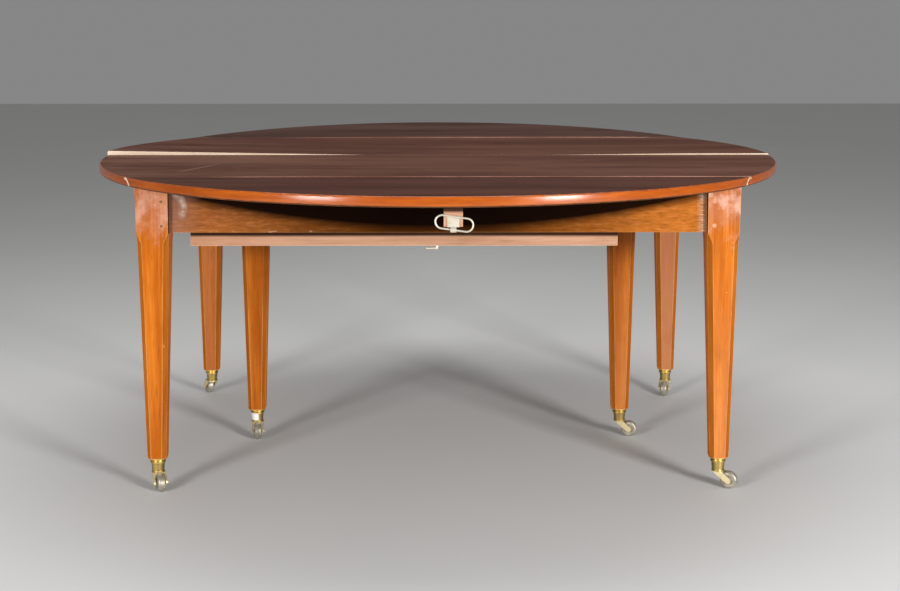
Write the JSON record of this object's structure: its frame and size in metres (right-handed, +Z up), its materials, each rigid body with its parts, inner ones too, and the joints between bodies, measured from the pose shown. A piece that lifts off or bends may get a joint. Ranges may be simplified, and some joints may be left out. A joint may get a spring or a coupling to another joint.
{
  "type": "round extending table",
  "caption": "Round wooden dining table with drop leaves, a top that parts on slides, tapered chamfered legs on brass casters, and a pull ring under the edge.",
  "frame": {"origin": "on the floor under the centre of the round top", "axes": "+Z up, -Y towards the side seen in the picture, X along the split and the hinge lines"},
  "size_m": [1.7, 1.7, 0.735],
  "materials": {
    "top_wood": "polished",
    "leg_wood": "polished",
    "apron_wood": "polished",
    "inner_wood": "bare",
    "peg_wood": "satin",
    "brass": "polished",
    "old_brass": "dull",
    "wheel_metal": "worn"
  },
  "bodies": {
    "middle_frame": {"middle_left_leg": "leg_wood", "middle_right_leg": "leg_wood", "middle_left_inner_rail": "inner_wood", "middle_right_inner_rail": "inner_wood", "middle_left_outer_rail": "inner_wood", "middle_right_outer_rail": "inner_wood", "middle_cross_rail": "inner_wood", "middle_caster_sockets": "brass"},
    "front_half": {"front_top_panel": "top_wood", "front_apron": "apron_wood", "front_left_side_apron": "apron_wood", "front_right_side_apron": "apron_wood", "front_left_leg": "leg_wood", "front_right_leg": "leg_wood", "front_left_rail": "inner_wood", "front_right_rail": "inner_wood", "front_loper_guides": "inner_wood", "front_hinge_plates": "old_brass", "front_joint_pegs": "peg_wood", "front_caster_sockets": "brass", "tie_board": "inner_wood", "screw_hook": "old_brass", "split_pegs": "peg_wood"},
    "front_leaf": {"front_leaf": "top_wood", "front_leaf_hinge_plates": "old_brass", "front_bearing_block": "inner_wood", "front_ring_strap": "old_brass"},
    "front_loper": {"front_loper": "inner_wood"},
    "front_ring": {"front_pull_ring": "old_brass"},
    "rear_half": {"rear_top_panel": "top_wood", "rear_apron": "apron_wood", "rear_left_side_apron": "apron_wood", "rear_right_side_apron": "apron_wood", "rear_left_leg": "leg_wood", "rear_right_leg": "leg_wood", "rear_left_rail": "inner_wood", "rear_right_rail": "inner_wood", "rear_loper_guides": "inner_wood", "rear_hinge_plates": "old_brass", "rear_joint_pegs": "peg_wood", "rear_caster_sockets": "brass"},
    "rear_leaf": {"rear_leaf": "top_wood", "rear_leaf_hinge_plates": "old_brass", "rear_bearing_block": "inner_wood", "rear_ring_strap": "old_brass"},
    "rear_loper": {"rear_loper": "inner_wood"},
    "rear_ring": {"rear_pull_ring": "old_brass"},
    "front_left_fork": {"front_left_caster_fork": "brass"},
    "front_left_wheel": {"front_left_caster_wheel": "wheel_metal"},
    "front_right_fork": {"front_right_caster_fork": "brass"},
    "front_right_wheel": {"front_right_caster_wheel": "wheel_metal"},
    "middle_left_fork": {"middle_left_caster_fork": "brass"},
    "middle_left_wheel": {"middle_left_caster_wheel": "wheel_metal"},
    "middle_right_fork": {"middle_right_caster_fork": "brass"},
    "middle_right_wheel": {"middle_right_caster_wheel": "wheel_metal"},
    "rear_left_fork": {"rear_left_caster_fork": "brass"},
    "rear_left_wheel": {"rear_left_caster_wheel": "wheel_metal"},
    "rear_right_fork": {"rear_right_caster_fork": "brass"},
    "rear_right_wheel": {"rear_right_caster_wheel": "wheel_metal"}
  },
  "joints": [
    {"name": "front_half_slide", "type": "slide", "parent": "middle_frame", "child": "front_half", "axis": [0, -1, 0], "range_m": [0, 0.4]},
    {"name": "front_leaf_hinge", "type": "hinge", "parent": "front_half", "child": "front_leaf", "pos_m": [0, -0.47, 0.712], "axis": [-1, 0, 0], "range_deg": [-90, 0]},
    {"name": "front_loper_slide", "type": "slide", "parent": "front_half", "child": "front_loper", "axis": [0, -1, 0], "range_m": [0, 0.32]},
    {"name": "front_ring_hinge", "type": "hinge", "parent": "front_leaf", "child": "front_ring", "pos_m": [0.031, -0.8382, 0.672], "axis": [1, 0, 0], "range_deg": [0, 180]},
    {"name": "rear_half_slide", "type": "slide", "parent": "middle_frame", "child": "rear_half", "axis": [0, 1, 0], "range_m": [0, 0.4]},
    {"name": "rear_leaf_hinge", "type": "hinge", "parent": "rear_half", "child": "rear_leaf", "pos_m": [0, 0.47, 0.712], "axis": [1, 0, 0], "range_deg": [-90, 0]},
    {"name": "rear_loper_slide", "type": "slide", "parent": "rear_half", "child": "rear_loper", "axis": [0, 1, 0], "range_m": [0, 0.32]},
    {"name": "rear_ring_hinge", "type": "hinge", "parent": "rear_leaf", "child": "rear_ring", "pos_m": [-0.031, 0.8382, 0.672], "axis": [-1, 0, 0], "range_deg": [0, 180]},
    {"name": "front_left_swivel", "type": "hinge", "parent": "front_half", "child": "front_left_fork", "pos_m": [-0.652, -0.412, 0.05], "axis": [0, 0, 1], "continuous": true},
    {"name": "front_left_roll", "type": "hinge", "parent": "front_left_fork", "child": "front_left_wheel", "pos_m": [-0.64226, -0.43611, 0.02], "axis": [0.9272, 0.3746, 0], "continuous": true},
    {"name": "front_right_swivel", "type": "hinge", "parent": "front_half", "child": "front_right_fork", "pos_m": [0.652, -0.412, 0.05], "axis": [0, 0, 1], "continuous": true},
    {"name": "front_right_roll", "type": "hinge", "parent": "front_right_fork", "child": "front_right_wheel", "pos_m": [0.67611, -0.42174, 0.02], "axis": [0.3746, 0.9272, 0], "continuous": true},
    {"name": "middle_left_swivel", "type": "hinge", "parent": "middle_frame", "child": "middle_left_fork", "pos_m": [-0.471, 0, 0.05], "axis": [0, 0, 1], "continuous": true},
    {"name": "middle_left_roll", "type": "hinge", "parent": "middle_left_fork", "child": "middle_left_wheel", "pos_m": [-0.46738, -0.02575, 0.02], "axis": [0.9903, 0.1392, 0], "continuous": true},
    {"name": "middle_right_swivel", "type": "hinge", "parent": "middle_frame", "child": "middle_right_fork", "pos_m": [0.471, 0, 0.05], "axis": [0, 0, 1], "continuous": true},
    {"name": "middle_right_roll", "type": "hinge", "parent": "middle_right_fork", "child": "middle_right_wheel", "pos_m": [0.49623, -0.00629, 0.02], "axis": [0.2419, 0.9703, 0], "continuous": true},
    {"name": "rear_left_swivel", "type": "hinge", "parent": "rear_half", "child": "rear_left_fork", "pos_m": [-0.652, 0.412, 0.05], "axis": [0, 0, 1], "continuous": true},
    {"name": "rear_left_roll", "type": "hinge", "parent": "rear_left_fork", "child": "rear_left_wheel", "pos_m": [-0.6638, 0.43517, 0.02], "axis": [-0.891, -0.454, 0], "continuous": true},
    {"name": "rear_right_swivel", "type": "hinge", "parent": "rear_half", "child": "rear_right_fork", "pos_m": [0.652, 0.412, 0.05], "axis": [0, 0, 1], "continuous": true},
    {"name": "rear_right_roll", "type": "hinge", "parent": "rear_right_fork", "child": "rear_right_wheel", "pos_m": [0.64571, 0.38677, 0.02], "axis": [0.9703, -0.2419, 0], "continuous": true}
  ]
}
